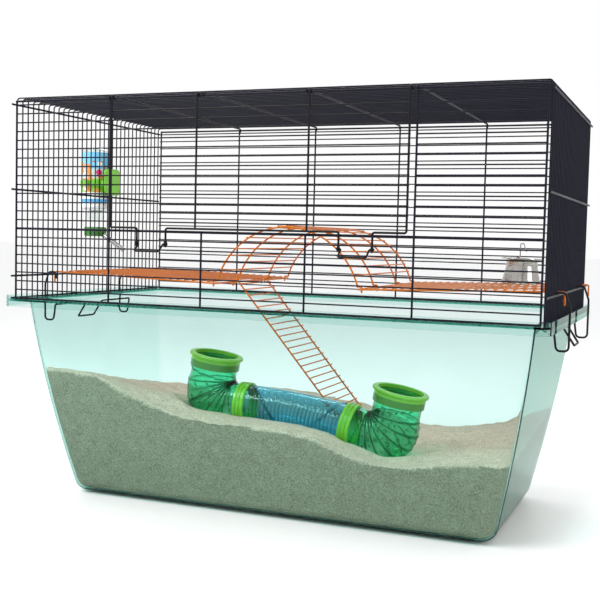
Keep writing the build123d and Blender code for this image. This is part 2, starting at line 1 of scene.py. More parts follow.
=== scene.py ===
# %% [markdown]
# # A gerbil cage, dressed in Blender
# The cage has a clear green tub with a heap of bedding, a tunnel half sunk in it, and a wire top with
# shelves, a bridge, a ladder, a bottle and a bowl. The CAD model already holds every hard part at its
# true size. This lesson loads it as a fixed frame, gives each part its finish, and rebuilds the parts
# whose look depends on fine relief: the bedding, the tunnel and the bowl.

# %% Load the frame
import math

import bmesh
import bpy
from mathutils import Matrix, Vector, noise


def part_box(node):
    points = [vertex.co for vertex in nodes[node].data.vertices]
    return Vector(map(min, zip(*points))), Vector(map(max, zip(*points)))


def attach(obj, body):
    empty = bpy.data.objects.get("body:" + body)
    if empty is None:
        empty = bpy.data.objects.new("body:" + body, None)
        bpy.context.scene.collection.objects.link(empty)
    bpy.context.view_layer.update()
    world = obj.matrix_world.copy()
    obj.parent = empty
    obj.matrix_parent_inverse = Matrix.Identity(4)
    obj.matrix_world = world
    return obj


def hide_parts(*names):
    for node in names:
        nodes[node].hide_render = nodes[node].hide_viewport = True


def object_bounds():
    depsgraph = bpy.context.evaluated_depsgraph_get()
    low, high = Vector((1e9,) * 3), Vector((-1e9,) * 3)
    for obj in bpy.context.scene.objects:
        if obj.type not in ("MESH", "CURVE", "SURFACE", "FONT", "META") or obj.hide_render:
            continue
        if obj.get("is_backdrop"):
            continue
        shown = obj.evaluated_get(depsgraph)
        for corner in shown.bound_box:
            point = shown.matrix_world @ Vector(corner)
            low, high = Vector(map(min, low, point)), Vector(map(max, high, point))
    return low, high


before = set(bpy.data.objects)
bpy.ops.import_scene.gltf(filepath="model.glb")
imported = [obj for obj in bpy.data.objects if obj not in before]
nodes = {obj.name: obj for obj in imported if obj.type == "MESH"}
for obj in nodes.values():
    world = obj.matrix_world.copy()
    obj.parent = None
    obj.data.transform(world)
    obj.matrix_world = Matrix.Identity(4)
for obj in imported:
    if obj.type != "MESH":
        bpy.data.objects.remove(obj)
cad_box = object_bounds()
scene = bpy.context.scene
print("CAD box:", [round(v, 4) for corner in cad_box for v in corner])

# %% [markdown]
# ## The camera
# A long lens from a little above the middle of the cage and well to its right keeps the uprights almost
# parallel. The direction is set with two angles and a small roll, so the camera's axes are
# worked out as three vectors and written straight into its matrix.

# %% Set up the camera
MM = 0.001
CAMERA_AT = Vector((0.58603, -1.45120, 0.39978))
YAW, PITCH, ROLL = 0.38097, -0.06091, 0.02375
LENS, SENSOR = 60.5, 36
FAR = 100


def camera_axes(yaw, pitch, roll):
    """Right, up and backward directions of a camera."""
    ahead = Vector((-math.sin(yaw) * math.cos(pitch), math.cos(yaw) * math.cos(pitch), math.sin(pitch)))
    flat_right = Vector((math.cos(yaw), math.sin(yaw), 0))
    level_up = flat_right.cross(ahead)
    right = math.cos(roll) * flat_right + math.sin(roll) * level_up
    up = -math.sin(roll) * flat_right + math.cos(roll) * level_up
    return right, up, -ahead


camera = bpy.data.objects.new("camera", bpy.data.cameras.new("camera"))
scene.collection.objects.link(camera)
camera.data.lens = LENS
camera.data.sensor_width = SENSOR
camera.data.clip_end = FAR
axes = Matrix(camera_axes(YAW, PITCH, ROLL)).transposed().to_4x4()
camera.matrix_world = Matrix.Translation(CAMERA_AT) @ axes
scene.camera = camera
print("camera at", tuple(round(v, 3) for v in CAMERA_AT), "lens", LENS)

# %% [markdown]
# ## Light and floor
# Clear plastic and dark wire both read best against white. A white world gives the even fill. A large
# soft lamp overhead to the left is the key, a narrow one behind draws a highlight along the tunnel's
# back, and a weaker one from the right opens the dark side. The floor, laid at the end, is a pale sheet
# that keeps a soft shadow under the tub.

# %% Light the studio
WORLD_FILL = 1.0
world = bpy.data.worlds.new("studio")
world.use_nodes = True
world.node_tree.nodes["Background"].inputs["Color"].default_value = (1, 1, 1, 1)
world.node_tree.nodes["Background"].inputs["Strength"].default_value = WORLD_FILL
scene.world = world
scene.view_settings.view_transform = "Standard"


def soft_lamp(name, place, target, size, power):
    """Square area lamp that faces a target."""
    lamp = bpy.data.objects.new(name, bpy.data.lights.new(name, "AREA"))
    lamp.data.shape = "RECTANGLE"
    lamp.data.size, lamp.data.size_y = size
    lamp.data.energy = power
    lamp.location = place
    lamp.rotation_euler = (Vector(target) - Vector(place)).to_track_quat("-Z", "Y").to_euler()
    scene.collection.objects.link(lamp)
    return lamp


MIDDLE, TUNNEL = (0, 0, 0.25), (-0.05, -0.05, 0.12)
soft_lamp("key_lamp", (-0.9, -1.3, 1.9), MIDDLE, (1.4, 0.5), 34)
soft_lamp("back_lamp", (-0.75, 1.15, 1.65), TUNNEL, (1.7, 0.16), 9)
soft_lamp("side_lamp", (2.1, -0.6, 1.1), MIDDLE, (1.0, 1.0), 10)

# %% [markdown]
# ## Wear, grain and mottling
# No real finish has one value all over. Paint is a touch thicker in places, plastic has faint flow
# marks, and everything picks up dust. One node group makes such a mask from two sizes of noise, and each
# material uses it with its own scale. The group gives out only a mask and a height.


# %% Build the shared mottle group
def build_mottle():
    group = bpy.data.node_groups.new("mottle", "ShaderNodeTree")
    for name, value in (("Broad Scale", 20.0), ("Fine Scale", 400.0), ("Fine Share", 0.3)):
        socket = group.interface.new_socket(name, in_out="INPUT", socket_type="NodeSocketFloat")
        socket.default_value = value
    for name in ("Mask", "Height"):
        group.interface.new_socket(name, in_out="OUTPUT", socket_type="NodeSocketFloat")
    make, link = group.nodes.new, group.links.new
    given, out = make("NodeGroupInput"), make("NodeGroupOutput")
    where = make("ShaderNodeTexCoord")
    broad, fine = make("ShaderNodeTexNoise"), make("ShaderNodeTexNoise")
    mix = make("ShaderNodeMix")
    for tex, socket in ((broad, "Broad Scale"), (fine, "Fine Scale")):
        tex.inputs["Detail"].default_value = 3
        link(where.outputs["Object"], tex.inputs["Vector"])
        link(given.outputs[socket], tex.inputs["Scale"])
    link(given.outputs["Fine Share"], mix.inputs[0])
    link(broad.outputs["Fac"], mix.inputs[2])
    link(fine.outputs["Fac"], mix.inputs[3])
    link(mix.outputs[0], out.inputs["Mask"])
    link(fine.outputs["Fac"], out.inputs["Height"])
    return group


MOTTLE = build_mottle()
print("group sockets:", [s.name for s in MOTTLE.interface.items_tree])


# %% [markdown]
# ## A base for every finish
# Each material starts the same way: a Principled shader, the mottle group, a ramp from a darker to a
# lighter tone of the same colour, a second ramp for roughness and a bump. What makes paint differ from
# plastic or steel is the numbers, so one helper builds them all.

# %% Material helper
MASK_LOW, MASK_HIGH = 0.3, 0.7
GRAIN_DEPTH = 0.5 * MM


def mottled(name, dark, light, rough, bump=0.0, broad=20, fine=400, share=0.3, **plain):
    """Principled material whose colour and roughness follow the mottle mask."""
    material = bpy.data.materials.new(name)
    material.use_nodes = True
    tree = material.node_tree
    make, link = tree.nodes.new, tree.links.new
    shader = tree.nodes["Principled BSDF"]
    spots = make("ShaderNodeGroup")
    spots.node_tree = MOTTLE
    spots.inputs["Broad Scale"].default_value = broad
    spots.inputs["Fine Scale"].default_value = fine
    spots.inputs["Fine Share"].default_value = share
    ramp = make("ShaderNodeValToRGB")
    stops = ((MASK_LOW, dark), (MASK_HIGH, light))
    for element, (place, colour) in zip(ramp.color_ramp.elements, stops):
        element.position = place
        element.color = (*colour, 1)
    link(spots.outputs["Mask"], ramp.inputs["Fac"])
    link(ramp.outputs["Color"], shader.inputs["Base Color"])
    sheen = make("ShaderNodeMapRange")
    sheen.inputs["From Min"].default_value, sheen.inputs["From Max"].default_value = MASK_LOW, MASK_HIGH
    sheen.inputs["To Min"].default_value, sheen.inputs["To Max"].default_value = rough
    link(spots.outputs["Mask"], sheen.inputs["Value"])
    link(sheen.outputs["Result"], shader.inputs["Roughness"])
    if bump:
        relief = make("ShaderNodeBump")
        relief.inputs["Strength"].default_value = bump
        relief.inputs["Distance"].default_value = GRAIN_DEPTH
        link(spots.outputs["Height"], relief.inputs["Height"])
        link(relief.outputs["Normal"], shader.inputs["Normal"])
    for socket, value in plain.items():
        shader.inputs[socket.replace("_", " ")].default_value = value
    return material


def tint_where(material, mask, colour, blend="MIX"):
    """Blend a colour into the base colour where the mask output is 1."""
    tree = material.node_tree
    shader, mix = tree.nodes["Principled BSDF"], tree.nodes.new("ShaderNodeMix")
    mix.data_type, mix.blend_type = "RGBA", blend
    mix.inputs[7].default_value = (*colour, 1)
    tree.links.new(mask, mix.inputs[0])
    tree.links.new(shader.inputs["Base Color"].links[0].from_socket, mix.inputs[6])
    tree.links.new(mix.outputs[2], shader.inputs["Base Color"])


def dress(material, *names):
    """Give CAD nodes a finish."""
    for name in names:
        mesh = nodes[name].data
        mesh.materials.clear()
        mesh.materials.append(material)


# %% [markdown]
# ## Painted wire
# The wire top is mild steel with a thin stoved paint, nearly black with some blue in it. The door,
# latches and clips are a plain black. The shelves, bridge and ladder are orange. The coat is a little
# uneven, so roughness varies more than colour.

# %% Paint the wires
dark_wire = mottled("dark_wire", (0.004, 0.004, 0.010), (0.009, 0.009, 0.019), (0.34, 0.50), 0.15,
                    broad=30, fine=900, Specular_IOR_Level=0.12)
black_wire = mottled("black_wire", (0.003, 0.003, 0.004), (0.007, 0.007, 0.009), (0.28, 0.42), 0.15,
                     broad=30, fine=900, Specular_IOR_Level=0.15)
orange_wire = mottled("orange_wire", (0.50, 0.105, 0.001), (0.68, 0.18, 0.003), (0.28, 0.42), 0.15,
                      broad=40, fine=900, Specular_IOR_Level=0.2, Coat_Weight=0.05)
WIRES = (
    (dark_wire, ("front_panel", "back_panel", "left_panel", "right_panel", "roof_panel")),
    (black_wire, ("door", "left_latch", "right_latch", "left_clip", "right_clip")),
    (orange_wire, ("left_shelf", "right_shelf", "bridge", "ladder")))
for paint, names in WIRES:
    dress(paint, *names)
print("painted", sum(len(names) for paint, names in WIRES), "wire parts")


# %% [markdown]
# ## Clear plastic
# Clear green plastic is pale where it is thin and deep green along its edges, because light that runs
# inside the sheet is absorbed on the way. A volume does just that: its colour and density are set so
# that one wall takes a little, and a thick edge takes a lot. A wall seen nearly edge on is tinted more
# by the Layer Weight's Facing, and ribs are tinted by the "relief" that their mesh carries. Real glass
# shaders block lamps, so lamp rays go through a Transparent shader, and the bedding stays lit.

# %% Clear plastic helper
RIM_FROM = 0.5
FLOW = 0.96             # how much darker the flow marks are


def clear_plastic(name, tint, rough, absorb=None, density=0.0, bump=0.02, ior=1.45, shade=None,
                  rim=None, thick=None):
    """Clear material that lets lamps in. tint is what one wall passes, absorb what the depth passes,
    rim what a wall passes when it is seen nearly edge on and thick what a raised rib passes."""
    material = mottled(name, tuple(FLOW * c for c in tint), tint, rough, bump, broad=12, fine=160,
                       Transmission_Weight=1.0, IOR=ior)
    tree = material.node_tree
    make, link = tree.nodes.new, tree.links.new
    shader, out = tree.nodes["Principled BSDF"], tree.nodes["Material Output"]
    path, mix = make("ShaderNodeLightPath"), make("ShaderNodeMixShader")
    clear = make("ShaderNodeBsdfTransparent")
    clear.inputs["Color"].default_value = (*(shade or tint), 1)
    link(path.outputs["Is Shadow Ray"], mix.inputs["Fac"])
    link(shader.outputs["BSDF"], mix.inputs[1])
    link(clear.outputs["BSDF"], mix.inputs[2])
    link(mix.outputs["Shader"], out.inputs["Surface"])
    if thick:
        ribs = make("ShaderNodeAttribute")
        ribs.attribute_name = "relief"
        tint_where(material, ribs.outputs["Fac"], thick)
    if rim:
        slant, steep = make("ShaderNodeLayerWeight"), make("ShaderNodeMapRange")
        slant.inputs["Blend"].default_value = 0.5
        steep.interpolation_type = "SMOOTHSTEP"
        steep.inputs["From Min"].default_value = RIM_FROM
        link(slant.outputs["Facing"], steep.inputs["Value"])
        tint_where(material, steep.outputs["Result"], rim)
    if absorb:
        depth = make("ShaderNodeVolumeAbsorption")
        depth.inputs["Color"].default_value = (*absorb, 1)
        depth.inputs["Density"].default_value = density
        link(depth.outputs["Volume"], out.inputs["Volume"])
    return material


clear_green = clear_plastic("clear_green", (0.99, 1.0, 0.995), (0.0, 0.02), (0.10, 0.66, 0.58), 92.0,
                            ior=1.08, rim=(0.02, 0.26, 0.16))
clear_bottle = clear_plastic("clear_bottle", (0.93, 0.96, 0.95), (0.0, 0.04))
green_tube = clear_plastic("green_tube", (0.27, 0.84, 0.58), (0.0, 0.03), ior=1.35,
                           shade=(0.75, 0.96, 0.88), rim=(0.05, 0.42, 0.24), thick=(0.04, 0.34, 0.18))
blue_tube = clear_plastic("blue_tube", (0.36, 0.80, 0.92), (0.0, 0.03), ior=1.35,
                          shade=(0.75, 0.94, 0.97), rim=(0.06, 0.36, 0.52), thick=(0.05, 0.32, 0.50))
dress(clear_green, "tub")
dress(clear_bottle, "bottle")

# %% [markdown]
# ## Coloured plastic and small metal
# The tunnel's rings and the bottle's bracket are a solid lime plastic with a soft gloss. The cap of the
# bottle is a darker green. The spout and the bowl's hook are steel, and the ball is bronze.

# %% Dress the small parts
lime_plastic = mottled("lime_plastic", (0.12, 0.46, 0.015), (0.20, 0.60, 0.035), (0.28, 0.42), 0.1,
                       broad=25, fine=500, Coat_Weight=0.2, Subsurface_Weight=0.05)
cap_plastic = mottled("dark_green_plastic", (0.02, 0.14, 0.012), (0.06, 0.26, 0.03), (0.3, 0.45), 0.15,
                      broad=40, fine=600)
steel = mottled("steel", (0.26, 0.26, 0.26), (0.40, 0.40, 0.40), (0.18, 0.34), 0.1, broad=60, fine=1200,
                Metallic=1.0)
bronze = mottled("bronze", (0.48, 0.24, 0.10), (0.62, 0.34, 0.15), (0.25, 0.4), 0.1, broad=200, fine=1500,
                 Metallic=1.0)
dress(lime_plastic, "left_ring", "right_ring", "bottle_holder")
dress(cap_plastic, "bottle_cap")
dress(steel, "bottle_spout", "bowl_hook")
dress(bronze, "spout_ball")

# %% [markdown]
# ## The bottle's label
# A printed sleeve. From the bottom up it has a blue stripe, a white band, a lime field, a pale one and a
# sky. Its picture is generic, made of round cells in a few colours. All of it sits on Object
# coordinates, moved to the label by a Mapping node.

# %% Print the label
label_low, label_high = (Vector(c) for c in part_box("bottle_label"))
LABEL_STOPS = ((0.0, (0.86, 0.9, 0.9)), (0.08, (0.10, 0.42, 0.78)), (0.16, (0.88, 0.93, 0.9)),
               (0.28, (0.30, 0.62, 0.06)), (0.52, (0.62, 0.70, 0.66)), (0.70, (0.20, 0.58, 0.86)))
CELL_COLOURS = ((0.0, (0.80, 0.30, 0.06)), (0.3, (0.70, 0.03, 0.22)), (0.5, (0.93, 0.95, 0.9)),
                (0.7, (0.55, 0.14, 0.03)), (0.85, (0.30, 0.62, 0.06)))
CELLS_PER_M, CELL_SHUFFLE, CELL_R = 75, 0.8, 0.42
PATCH_LOW, PATCH_HIGH = 0.28, 0.84
INK_ROUGH = (0.3, 0.45)


def stepped_ramp(tree, stops):
    """Colour ramp with hard steps."""
    ramp = tree.nodes.new("ShaderNodeValToRGB")
    ramp.color_ramp.interpolation = "CONSTANT"
    while len(ramp.color_ramp.elements) < len(stops):
        ramp.color_ramp.elements.new(1.0)
    for element, (place, colour) in zip(ramp.color_ramp.elements, stops):
        element.position = place
        element.color = (*colour, 1)
    return ramp


def compare(tree, operation, value, limit):
    """1 where the value is on the asked side of the limit, else 0."""
    test = tree.nodes.new("ShaderNodeMath")
    test.operation, test.inputs[1].default_value = operation, limit
    tree.links.new(value, test.inputs[0])
    return test.outputs[0]


def print_label():
    material = bpy.data.materials.new("label")
    material.use_nodes = True
    tree = material.node_tree
    make, link = tree.nodes.new, tree.links.new
    shader = tree.nodes["Principled BSDF"]
    where, centre = make("ShaderNodeTexCoord"), make("ShaderNodeMapping")
    apart = make("ShaderNodeSeparateXYZ")
    middle = (label_low + label_high) / 2
    centre.inputs["Location"].default_value = (-middle.x, -middle.y, -label_low.z)
    link(where.outputs["Object"], centre.inputs["Vector"])
    link(centre.outputs["Vector"], apart.inputs["Vector"])
    height = make("ShaderNodeMath")
    height.operation = "DIVIDE"
    height.inputs[1].default_value = label_high.z - label_low.z
    link(apart.outputs["Z"], height.inputs[0])
    bands = stepped_ramp(tree, LABEL_STOPS)
    link(height.outputs[0], bands.inputs["Fac"])
    cells = make("ShaderNodeTexVoronoi")
    cells.inputs["Scale"].default_value = CELLS_PER_M
    cells.inputs["Randomness"].default_value = CELL_SHUFFLE
    link(centre.outputs["Vector"], cells.inputs["Vector"])
    tones, value = stepped_ramp(tree, CELL_COLOURS), make("ShaderNodeSeparateColor")
    link(cells.outputs["Color"], value.inputs["Color"])
    link(value.outputs[0], tones.inputs["Fac"])
    drawn = compare(tree, "LESS_THAN", cells.outputs["Distance"], CELL_R)
    for operation, limit in (("GREATER_THAN", PATCH_LOW), ("LESS_THAN", PATCH_HIGH)):
        both = make("ShaderNodeMath")
        both.operation = "MULTIPLY"
        link(drawn, both.inputs[0])
        link(compare(tree, operation, height.outputs[0], limit), both.inputs[1])
        drawn = both.outputs[0]
    mix = make("ShaderNodeMix")
    mix.data_type = "RGBA"
    link(drawn, mix.inputs[0])
    link(bands.outputs["Color"], mix.inputs[6])
    link(tones.outputs["Color"], mix.inputs[7])
    link(mix.outputs[2], shader.inputs["Base Color"])
    ink = make("ShaderNodeMapRange")
    ink.inputs["To Min"].default_value, ink.inputs["To Max"].default_value = INK_ROUGH
    link(cells.outputs["Distance"], ink.inputs["Value"])
    link(ink.outputs["Result"], shader.inputs["Roughness"])
    return material


dress(print_label(), "bottle_label")
print("label height", round((label_high.z - label_low.z) / MM), "mm")


# %% [markdown]
# ## Making a mesh piece
# Each new piece is built in a bmesh in its final place, in metres. A small helper turns it into an
# object, smooths it, gives it a material, lets it ride on its body and hides the CAD node it stands for.

# %% Finish a piece
SAME_POINT = 0.001 * MM


def finish_piece(bm, name, material, body, slot, *replaced):
    mesh = bpy.data.meshes.new(name)
    bm.normal_update()
    bm.to_mesh(mesh)
    bm.free()
    mesh.shade_smooth()
    mesh.materials.append(material)
    piece = bpy.data.objects.new(name, mesh)
    scene.collection.objects.link(piece)
    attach(piece, body)
    if replaced:
        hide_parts(*replaced)
    print(name, len(mesh.polygons), "faces")
    return piece


def give_wall(piece, thickness):
    """Turn an open surface into a wall that lies inside it."""
    wall = piece.modifiers.new("wall", "SOLIDIFY")
    wall.thickness = thickness
    wall.offset = -1
    return piece


def spun(profile, steps):
    """Surface that a profile of radii and heights makes round the Z axis."""
    bm = bmesh.new()
    points = [bm.verts.new((r, 0, z)) for r, z in profile]
    edges = [bm.edges.new(pair) for pair in zip(points, points[1:])]
    bmesh.ops.spin(bm, geom=points + edges, cent=(0, 0, 0), axis=(0, 0, 1), angle=2 * math.pi, steps=steps,
                   use_merge=True)
    bmesh.ops.remove_doubles(bm, verts=bm.verts, dist=SAME_POINT)
    bmesh.ops.recalc_face_normals(bm, faces=bm.faces)
    return bm


# %% [markdown]
# ## The tunnel's line
# The CAD rings are centred on the two joints of the tunnel, so their boxes give those points. From each
# joint an elbow runs straight to a knee and turns up. The sizes repeat those of the CAD model.

# %% Tunnel geometry
TUBE_R, ARM_R, WALL = 29.5 * MM, 35 * MM, 2 * MM
STUBS = {"left": (178.0, 61.5 * MM, 81.0), "right": (-11.0, 63.5 * MM, 79.0)}
ARM = 66 * MM


def ring_centre(side):
    low, high = (Vector(c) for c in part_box(side + "_ring"))
    return (low + high) / 2


def heading(degrees):
    """Direction in the XZ plane, from +X towards +Z."""
    return Vector((math.cos(math.radians(degrees)), 0, math.sin(math.radians(degrees))))


JOINTS = {side: ring_centre(side) for side in STUBS}
KNEES = {side: JOINTS[side] + heading(a) * d for side, (a, d, lean) in STUBS.items()}
MOUTHS = {side: KNEES[side] + heading(lean) * ARM for side, (a, d, lean) in STUBS.items()}
print("joints", {s: tuple(round(v, 4) for v in p) for s, p in JOINTS.items()})


# %% [markdown]
# ## The collars' two greens
# A collar's flange is lime, and its sleeve is darker where the tube shows through it.

# %% Dress the collars
SLEEVE_TOP, SLEEVE_TONE = ARM - 5 * MM, (0.30, 0.42, 0.75)


def collar_plastic(side):
    """Lime flange over a darker, fitted sleeve. The change follows the collar's own leaning axis."""
    material = mottled(side + "_collar_plastic", (0.12, 0.42, 0.02), (0.20, 0.54, 0.05), (0.25, 0.38), 0.1,
                       broad=25, fine=500, Coat_Weight=0.2)
    tree = material.node_tree
    make, link = tree.nodes.new, tree.links.new
    where, along, below = (make("ShaderNode" + kind) for kind in ("TexCoord", "VectorMath", "MapRange"))
    axis = heading(STUBS[side][2])
    along.operation = "DOT_PRODUCT"
    along.inputs[1].default_value = axis
    level = KNEES[side].dot(axis) + SLEEVE_TOP
    below.inputs["From Min"].default_value, below.inputs["From Max"].default_value = level + MM, level
    link(where.outputs["Object"], along.inputs[0])
    link(along.outputs["Value"], below.inputs["Value"])
    tint_where(material, below.outputs["Result"], SLEEVE_TONE, "MULTIPLY")
    return material


for side in STUBS:
    dress(collar_plastic(side), side + "_collar")

# %% [markdown]
# ## A tube through sections
# A moulded bend isn't a plain sweep: its sections are ellipses that grow and tilt. So each section is a
# matrix that maps a unit circle into place. The first circle is created, and its edge loop is extruded
# and carried to the next section again and again.

# %% Section tools
def section(centre, across, radius, side_radius):
    """Matrix that lays a unit circle at centre, one axis along across and the other along Y."""
    across = across.normalized()
    axis = across.cross(Vector((0, 1, 0)))
    columns = (across * radius, Vector((0, side_radius, 0)), axis * radius)
    return Matrix.Translation(centre) @ Matrix(columns).transposed().to_4x4()


def tube_through(sections, count):
    bm = bmesh.new()
    first = bmesh.ops.create_circle(bm, segments=count, radius=1.0)["verts"]
    bmesh.ops.transform(bm, matrix=sections[0], verts=first)
    loop = list(bm.edges)
    for before, after in zip(sections, sections[1:]):
        made = bmesh.ops.extrude_edge_only(bm, edges=loop)["geom"]
        verts = [g for g in made if isinstance(g, bmesh.types.BMVert)]
        bmesh.ops.transform(bm, matrix=after @ before.inverted(), verts=verts)
        loop = [g for g in made if isinstance(g, bmesh.types.BMEdge)
                and all(v in set(verts) for v in g.verts)]
    bmesh.ops.recalc_face_normals(bm, faces=bm.faces)
    return bm


def raise_surface(bm, height):
    """Move each vertex out along its normal by height(position) and keep that, in mm, as "relief"."""
    bm.normal_update()
    relief = bm.verts.layers.float.new("relief")
    moves = [(v, v.normal.copy(), height(v.co)) for v in bm.verts]
    for v, normal, rise in moves:
        v.co += normal * rise
        v[relief] = rise / MM


def dome(distance, radius, height):
    """Low round ridge or pimple."""
    return height * max(0.0, 1 - (distance / radius) ** 2)


def ramped(value, none, full):
    """0 at none, 1 at full and in proportion between."""
    return min(1.0, max(0.0, (value - none) / (full - none)))


def swing(first, last, t):
    """Unit direction t of the way round from the first direction to the last."""
    whole = first.angle(last)
    return (first * math.sin((1 - t) * whole) + last * math.sin(t * whole)).normalized()


# %% [markdown]
# ## The elbows
# An elbow fans about its inner corner: the sections all pass near that corner and turn round it like
# pages. Thin ribs follow the sections, and little pimples between them give the plastic its sparkle.
# The mouth stays plain where the collar slips on, and so does the stub under the ring.

# %% Model the elbows
FAN_STEP, RIB_EVERY = 2.5, 15.0     # degrees
DOT_ROWS, DOTS_ROUND = 6, 12
STRAIGHT_STEPS, END_GAP = 14, 0.2 * MM
PLAIN_END, PLAIN_MOUTH = 10 * MM, ARM - 16.5 * MM
RIB_HALF, RIB_MIN_R = 1.3 * MM, 12 * MM
INNER_GAP, BULGE, SIDE_SHARE, ELBOW_ROUND = 3 * MM, 7.5 * MM, 0.5, 132
RIB_H, DOT_H, DOT_R = 1.3 * MM, 1.1 * MM, 2.3 * MM


def elbow_frame(side):
    """Inner corner, and from it the directions across the stub and across the arm."""
    out_angle, _, lean = STUBS[side]
    back, up = -heading(out_angle), heading(lean)
    to_arm = (up - back * up.dot(back)).normalized()
    to_stub = (back - up * back.dot(up)).normalized()
    knee, cosine = KNEES[side], to_arm.dot(to_stub)
    a, b = TUBE_R + INNER_GAP, ARM_R + INNER_GAP
    sine_sq = 1 - cosine * cosine
    corner = knee + to_arm * ((a - b * cosine) / sine_sq) + to_stub * ((b - a * cosine) / sine_sq)
    return corner, -to_arm, -to_stub


def fan_radii(t):
    """Radii of the bend, across and along Y, t of the way from the stub to the arm."""
    bulge = BULGE * math.sin(math.pi * t)
    radius = TUBE_R + (ARM_R - TUBE_R) * t
    return radius + bulge, radius + SIDE_SHARE * bulge


def elbow_sections(side):
    corner, down, out = elbow_frame(side)
    sweep_angle = math.degrees(down.angle(out))
    steps = round(sweep_angle / FAN_STEP)
    sections = []
    stub_length = (corner - JOINTS[side]).dot(heading(STUBS[side][0]))
    for k in range(STRAIGHT_STEPS):
        reach = END_GAP + (stub_length - END_GAP) * k / STRAIGHT_STEPS
        sections.append(section(JOINTS[side] + heading(STUBS[side][0]) * reach, down, TUBE_R, TUBE_R))
    for k in range(steps + 1):
        spin = swing(down, out, k / steps)
        radius, side_radius = fan_radii(k / steps)
        sections.append(section(corner + spin * (INNER_GAP + radius), spin, radius, side_radius))
    knee_up = (corner - KNEES[side]).dot(heading(STUBS[side][2]))
    for k in range(1, STRAIGHT_STEPS + 1):
        reach = knee_up + (ARM - knee_up) * k / STRAIGHT_STEPS
        sections.append(section(KNEES[side] + heading(STUBS[side][2]) * reach, out, ARM_R, ARM_R))
    return sections, corner, down, out


def elbow_relief(side, corner, down, out):
    whole = math.degrees(down.angle(out))
    dots = []
    for row in range(DOT_ROWS):
        t = RIB_EVERY * (row + 0.5) / whole
        spin = swing(down, out, t)
        radius, side_radius = fan_radii(t)
        for k in range(DOTS_ROUND):
            turn = 2 * math.pi * (k + 0.5 * (row % 2)) / DOTS_ROUND
            dots.append(corner + spin * (INNER_GAP + radius * (1 - math.cos(turn)))
                        + Vector((0, side_radius * math.sin(turn), 0)))

    def height(co):
        if (co - KNEES[side]).dot(heading(STUBS[side][2])) > PLAIN_MOUTH:
            return 0.0
        if (co - JOINTS[side]).dot(heading(STUBS[side][0])) < PLAIN_END:
            return 0.0
        flat = Vector((co.x - corner.x, 0, co.z - corner.z))
        fan = math.degrees(math.atan2(flat.dot(out), flat.dot(down)))
        off = abs((fan + RIB_EVERY / 2) % RIB_EVERY - RIB_EVERY / 2)
        width = math.degrees(RIB_HALF / max(flat.length, RIB_MIN_R))
        rib = dome(off, width, RIB_H) if -RIB_EVERY < fan < whole + RIB_EVERY else 0.0
        near = min((co - d).length for d in dots)
        return max(rib, dome(near, DOT_R, DOT_H))

    return height


def make_elbow(side):
    sections, corner, down, out = elbow_sections(side)
    bm = tube_through(sections, ELBOW_ROUND)
    raise_surface(bm, elbow_relief(side, corner, down, out))
    piece = finish_piece(bm, side + "_elbow_moulded", green_tube, "cage", "green_tube", side + "_elbow")
    return give_wall(piece, WALL)


elbows = [make_elbow(side) for side in STUBS]


# %% [markdown]
# ## The middle tube
# A gentle arc joins the elbows. Fine hoops run across its lower part, a row of small arches follows
# the top, and little rings are scattered between them. Both ends stay plain under the coupling rings.

# %% Model the middle tube
ARC_FALL = 9.0                      # degrees
TUBE_STEPS, TUBE_ROUND, END_SHARE = 116, 168, 0.001
HOOP_EVERY, HOOP_H, HOOP_HALF = 6.0 * MM, 0.6 * MM, 1.4 * MM
HOOPS_FROM, HOOPS_FULL = 0.9, 1.15  # turn from the top, in radians
ARCH_EVERY, ARCH_HALF = 11.0 * MM, 1.1 * MM
ARCH_FOOT, ARCH_RISE = 0.58, 0.30   # turn from the top, in radians
RINGS, RING_R, RING_HALF, RINGS_IN = 150, 1.7 * MM, 0.9 * MM, 12 * MM
GOLDEN, GOLDEN_TURN = 0.618034, 2.399963
MARK_H = 0.9 * MM


def arc_of_tube():
    """Centre and radius of the arc through the joints, falling ARC_FALL degrees from end to end."""
    a, b = JOINTS["left"], JOINTS["right"]
    radius = (b - a).length / 2 / math.sin(math.radians(ARC_FALL / 2))
    middle = (a + b) / 2
    down = (b - a).cross(Vector((0, 1, 0))).normalized()
    down = down if down.z < 0 else -down
    return middle + down * math.sqrt(radius ** 2 - ((b - a).length / 2) ** 2), radius


